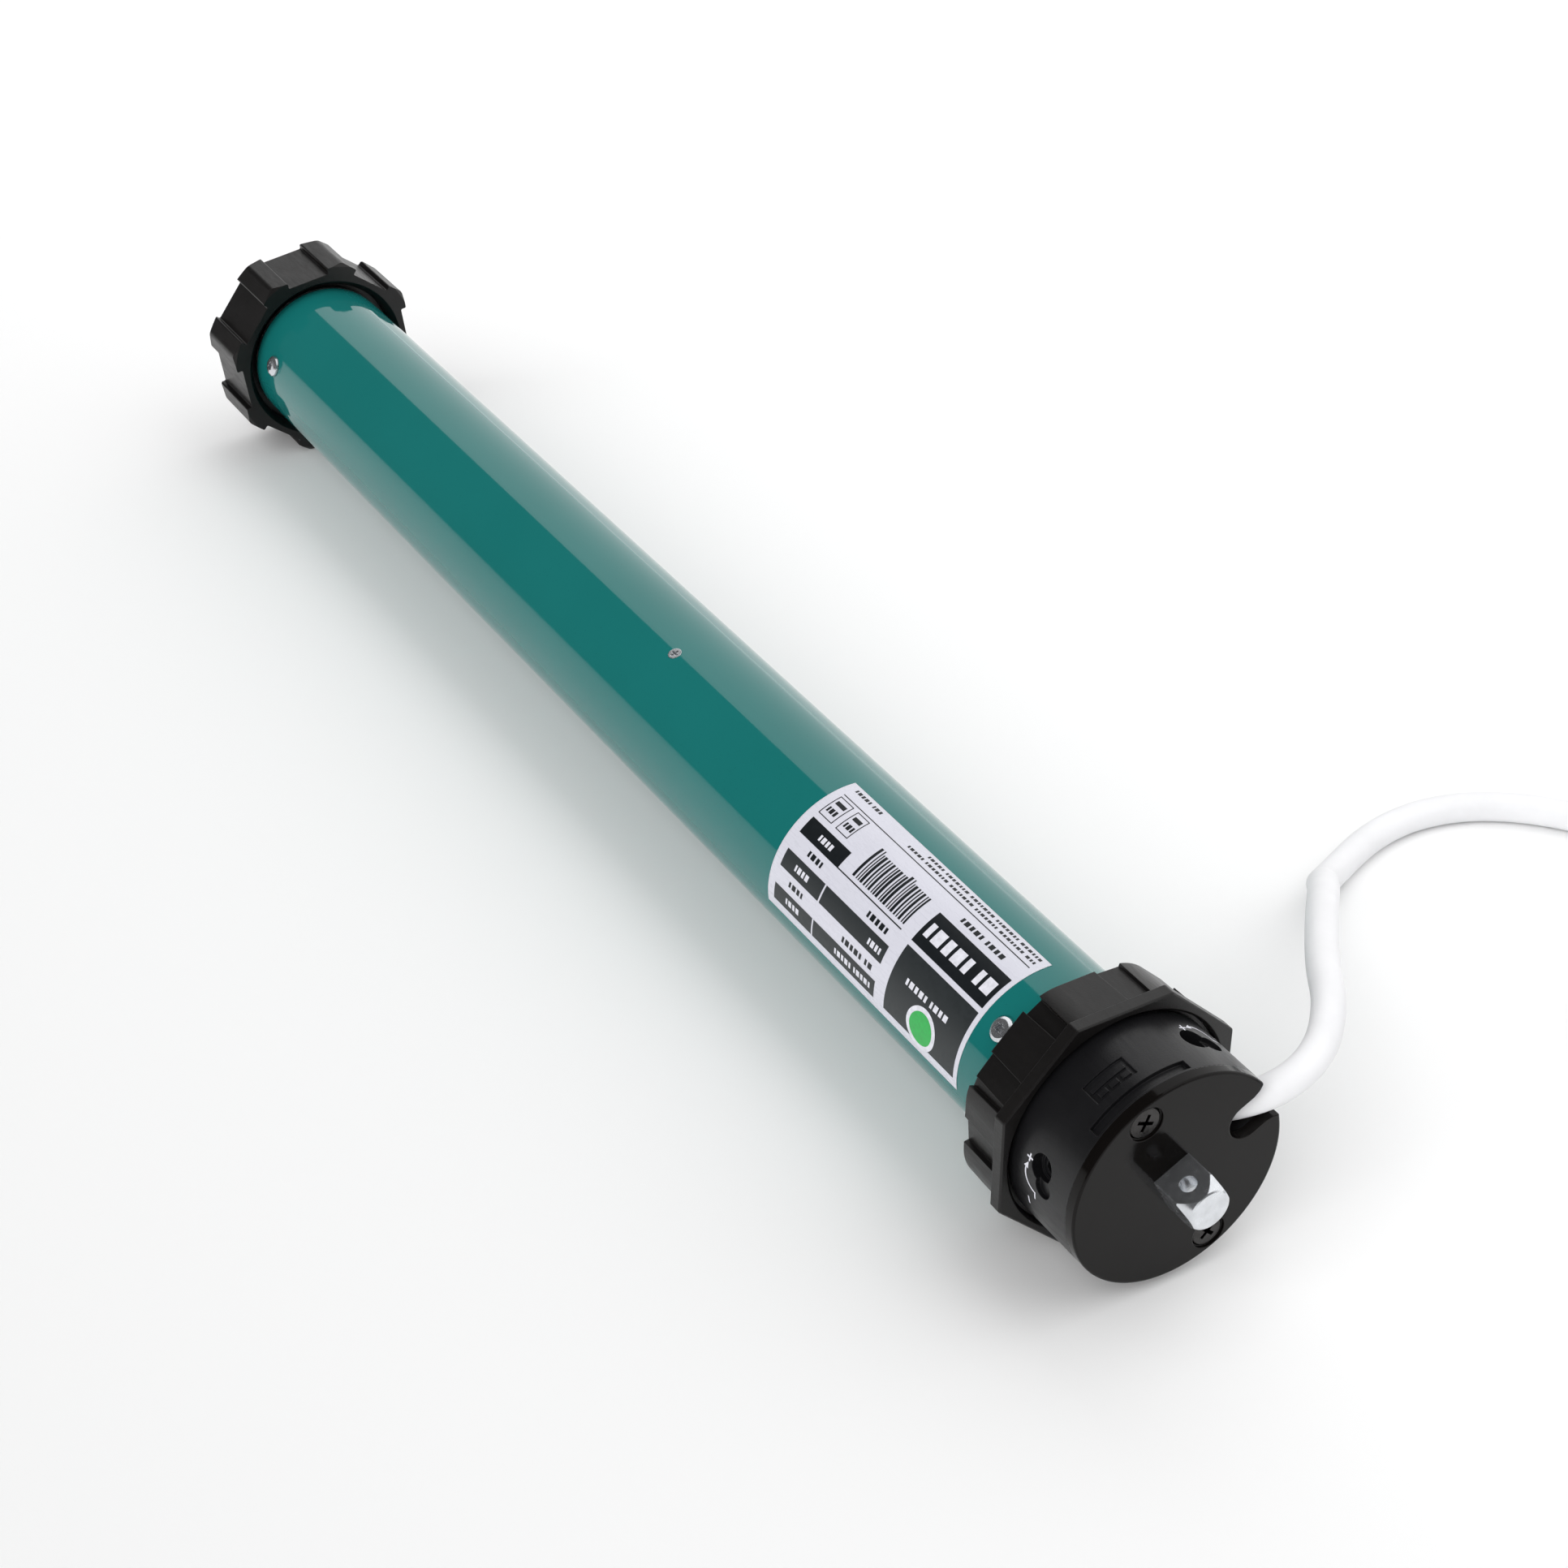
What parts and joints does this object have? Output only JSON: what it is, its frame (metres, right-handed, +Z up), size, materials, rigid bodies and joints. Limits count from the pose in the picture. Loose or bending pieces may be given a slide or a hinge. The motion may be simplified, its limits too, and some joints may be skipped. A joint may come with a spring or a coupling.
{
  "type": "roller shutter motor",
  "caption": "Tubular motor for a roller shutter: teal tube, octagonal crown and drive wheel, round head with square pin and limit screws, white supply cable.",
  "frame": {"origin": "centre of the outer face of the head's face plate, on the motor's axis", "axes": "+X along the motor's axis, out of the head past the square pin, so the tube and the drive wheel lie along -X; +Z up as the motor lies on a floor on its crown and drive wheel; +Y to the side the cable leaves by"},
  "size_m": [0.5462, 0.2828, 0.0612],
  "materials": {
    "white_cable": "white PVC cable sheath",
    "black_gloss": "glossy black moulded face plate",
    "black_matte": "matte black moulded nylon",
    "dark_head": "black moulded head housing, fine texture",
    "white_plastic": "white acetal gears and buttons",
    "teal_paint": "deep teal satin paint on steel tube",
    "label": "white printed film label",
    "zinc_steel": "bright zinc-plated steel",
    "machined_steel": "turned and ground steel",
    "blackened_steel": "blackened steel screws",
    "lamination": "stacked electrical steel sheets",
    "rotor_alloy": "cast aluminium cage with steel sheets",
    "cast_alloy": "die-cast end shields",
    "copper": "enamelled copper winding",
    "capacitor_case": "off-white capacitor case",
    "wires": "insulated wires",
    "sintered": "oiled sintered steel gears",
    "bronze": "sintered bronze bushes",
    "friction": "brake friction disc",
    "cores": "insulated cable cores",
    "switch_case": "black switch cases"
  },
  "bodies": {
    "motor": {"face_plate": "black_gloss", "face_screws": "blackened_steel", "head_pin": "zinc_steel", "head_housing": "dark_head", "cable_plug": "black_matte", "limit_switches": "switch_case", "tube_spigot": "cast_alloy", "motor_tube": "teal_paint", "tube_screws": "zinc_steel", "stator_screws": "zinc_steel", "rating_label": "label", "capacitor": "capacitor_case", "inner_wires": "wires", "front_end_shield": "cast_alloy", "rear_end_shield": "cast_alloy", "stator_core": "lamination", "stator_windings": "copper", "rotor_bearings": "machined_steel", "brake_housing": "cast_alloy", "brake_coil": "lamination", "brake_spring": "machined_steel", "ring_gear": "sintered", "gearbox_end_cover": "cast_alloy", "output_bushes": "bronze", "cable": "white_cable", "cable_tail": "white_cable", "cable_coil": "white_cable", "cable_cores": "cores"},
    "rotor": {"rotor_core": "rotor_alloy", "rotor_shaft": "machined_steel", "brake_disc": "friction", "sun_gear_1": "sintered"},
    "brake_plate": {"brake_armature": "machined_steel"},
    "stage_1": {"carrier_1": "sintered", "sun_gear_2": "sintered"},
    "stage_2": {"carrier_2": "sintered", "sun_gear_3": "sintered"},
    "output": {"output_carrier": "sintered", "output_shaft": "machined_steel", "drive_wheel": "black_matte", "drive_clip": "zinc_steel"},
    "crown": {"crown_ring": "black_matte", "limit_drive_ring": "white_plastic"},
    "limit_shaft": {"limit_pinion": "white_plastic"},
    "upper_wheel": {"upper_limit_wheel": "white_plastic"},
    "lower_wheel": {"lower_limit_wheel": "white_plastic"},
    "upper_screw": {"upper_adjuster": "dark_head"},
    "lower_screw": {"lower_adjuster": "dark_head"},
    "upper_button": {"upper_switch_button": "white_plastic"},
    "lower_button": {"lower_switch_button": "white_plastic"},
    "planet_1a": {"planet_1a": "sintered"},
    "planet_1b": {"planet_1b": "sintered"},
    "planet_1c": {"planet_1c": "sintered"},
    "planet_2a": {"planet_2a": "sintered"},
    "planet_2b": {"planet_2b": "sintered"},
    "planet_2c": {"planet_2c": "sintered"},
    "planet_3a": {"planet_3a": "sintered"},
    "planet_3b": {"planet_3b": "sintered"},
    "planet_3c": {"planet_3c": "sintered"}
  },
  "joints": [
    {"name": "rotor_spin", "type": "hinge", "parent": "motor", "child": "rotor", "pos_m": [-0.19, 0, 0], "axis": [1, 0, 0], "continuous": true},
    {"name": "stage_1_spin", "type": "hinge", "parent": "motor", "child": "stage_1", "pos_m": [-0.332, 0, 0], "axis": [1, 0, 0], "continuous": true},
    {"name": "stage_2_spin", "type": "hinge", "parent": "motor", "child": "stage_2", "pos_m": [-0.353, 0, 0], "axis": [1, 0, 0], "continuous": true},
    {"name": "output_spin", "type": "hinge", "parent": "motor", "child": "output", "pos_m": [-0.42, 0, 0], "axis": [1, 0, 0], "continuous": true},
    {"name": "planet_1a_spin", "type": "hinge", "parent": "stage_1", "child": "planet_1a", "pos_m": [-0.325, 0.01073, 0], "axis": [1, 0, 0], "continuous": true},
    {"name": "planet_1b_spin", "type": "hinge", "parent": "stage_1", "child": "planet_1b", "pos_m": [-0.325, -0.00536, 0.00929], "axis": [1, 0, 0], "continuous": true},
    {"name": "planet_1c_spin", "type": "hinge", "parent": "stage_1", "child": "planet_1c", "pos_m": [-0.325, -0.00536, -0.00929], "axis": [1, 0, 0], "continuous": true},
    {"name": "planet_2a_spin", "type": "hinge", "parent": "stage_2", "child": "planet_2a", "pos_m": [-0.3435, 0.01073, 0], "axis": [1, 0, 0], "continuous": true},
    {"name": "planet_2b_spin", "type": "hinge", "parent": "stage_2", "child": "planet_2b", "pos_m": [-0.3435, -0.00536, 0.00929], "axis": [1, 0, 0], "continuous": true},
    {"name": "planet_2c_spin", "type": "hinge", "parent": "stage_2", "child": "planet_2c", "pos_m": [-0.3435, -0.00536, -0.00929], "axis": [1, 0, 0], "continuous": true},
    {"name": "planet_3a_spin", "type": "hinge", "parent": "output", "child": "planet_3a", "pos_m": [-0.369, 0.01073, 0], "axis": [1, 0, 0], "continuous": true},
    {"name": "planet_3b_spin", "type": "hinge", "parent": "output", "child": "planet_3b", "pos_m": [-0.369, -0.00536, 0.00929], "axis": [1, 0, 0], "continuous": true},
    {"name": "planet_3c_spin", "type": "hinge", "parent": "output", "child": "planet_3c", "pos_m": [-0.369, -0.00536, -0.00929], "axis": [1, 0, 0], "continuous": true},
    {"name": "crown_spin", "type": "hinge", "parent": "motor", "child": "crown", "pos_m": [-0.03, 0, 0], "axis": [1, 0, 0], "continuous": true},
    {"name": "limit_shaft_spin", "type": "hinge", "parent": "motor", "child": "limit_shaft", "pos_m": [-0.02, -0.00781, 0.01566], "axis": [1, 0, 0], "continuous": true},
    {"name": "upper_wheel_spin", "type": "hinge", "parent": "motor", "child": "upper_wheel", "pos_m": [-0.014, -0.01125, 0.0098], "axis": [1, 0, 0], "continuous": true},
    {"name": "lower_wheel_spin", "type": "hinge", "parent": "motor", "child": "lower_wheel", "pos_m": [-0.014, -0.00105, 0.01489], "axis": [1, 0, 0], "continuous": true},
    {"name": "upper_screw_turn", "type": "hinge", "parent": "motor", "child": "upper_screw", "pos_m": [-0.0128, -0.01761, 0.00374], "axis": [0, -0.9781, 0.2079], "continuous": true},
    {"name": "lower_screw_turn", "type": "hinge", "parent": "motor", "child": "lower_screw", "pos_m": [-0.0128, 0.00761, 0.01631], "axis": [0, 0.4226, 0.9063], "continuous": true},
    {"name": "upper_button_press", "type": "slide", "parent": "motor", "child": "upper_button", "axis": [0, 0.4462, -0.8949], "range_m": [0, 0.0005], "stiffness_N_per_m": 800, "springref_m": -0.0005},
    {"name": "lower_button_press", "type": "slide", "parent": "motor", "child": "lower_button", "axis": [0, 0.4462, -0.8949], "range_m": [0, 0.0005], "stiffness_N_per_m": 800, "springref_m": -0.0005},
    {"name": "brake_release", "type": "slide", "parent": "motor", "child": "brake_plate", "axis": [1, 0, 0], "range_m": [0, 0.0004], "stiffness_N_per_m": 5000, "springref_m": -0.004, "deforming": ["brake_spring"]}
  ],
  "couplings": [
    {"joint": "stage_1_spin", "follows": "rotor_spin", "ratio": 0.18182},
    {"joint": "stage_2_spin", "follows": "rotor_spin", "ratio": 0.033058},
    {"joint": "output_spin", "follows": "rotor_spin", "ratio": 0.0060105},
    {"joint": "planet_1a_spin", "follows": "rotor_spin", "ratio": -0.46753},
    {"joint": "planet_1b_spin", "follows": "rotor_spin", "ratio": -0.46753},
    {"joint": "planet_1c_spin", "follows": "rotor_spin", "ratio": -0.46753},
    {"joint": "planet_2a_spin", "follows": "rotor_spin", "ratio": -0.085006},
    {"joint": "planet_2b_spin", "follows": "rotor_spin", "ratio": -0.085006},
    {"joint": "planet_2c_spin", "follows": "rotor_spin", "ratio": -0.085006},
    {"joint": "planet_3a_spin", "follows": "rotor_spin", "ratio": -0.015456},
    {"joint": "planet_3b_spin", "follows": "rotor_spin", "ratio": -0.015456},
    {"joint": "planet_3c_spin", "follows": "rotor_spin", "ratio": -0.015456},
    {"joint": "limit_shaft_spin", "follows": "crown_spin", "ratio": 6},
    {"joint": "upper_wheel_spin", "follows": "crown_spin", "ratio": -2.5},
    {"joint": "lower_wheel_spin", "follows": "crown_spin", "ratio": -2.5}
  ]
}
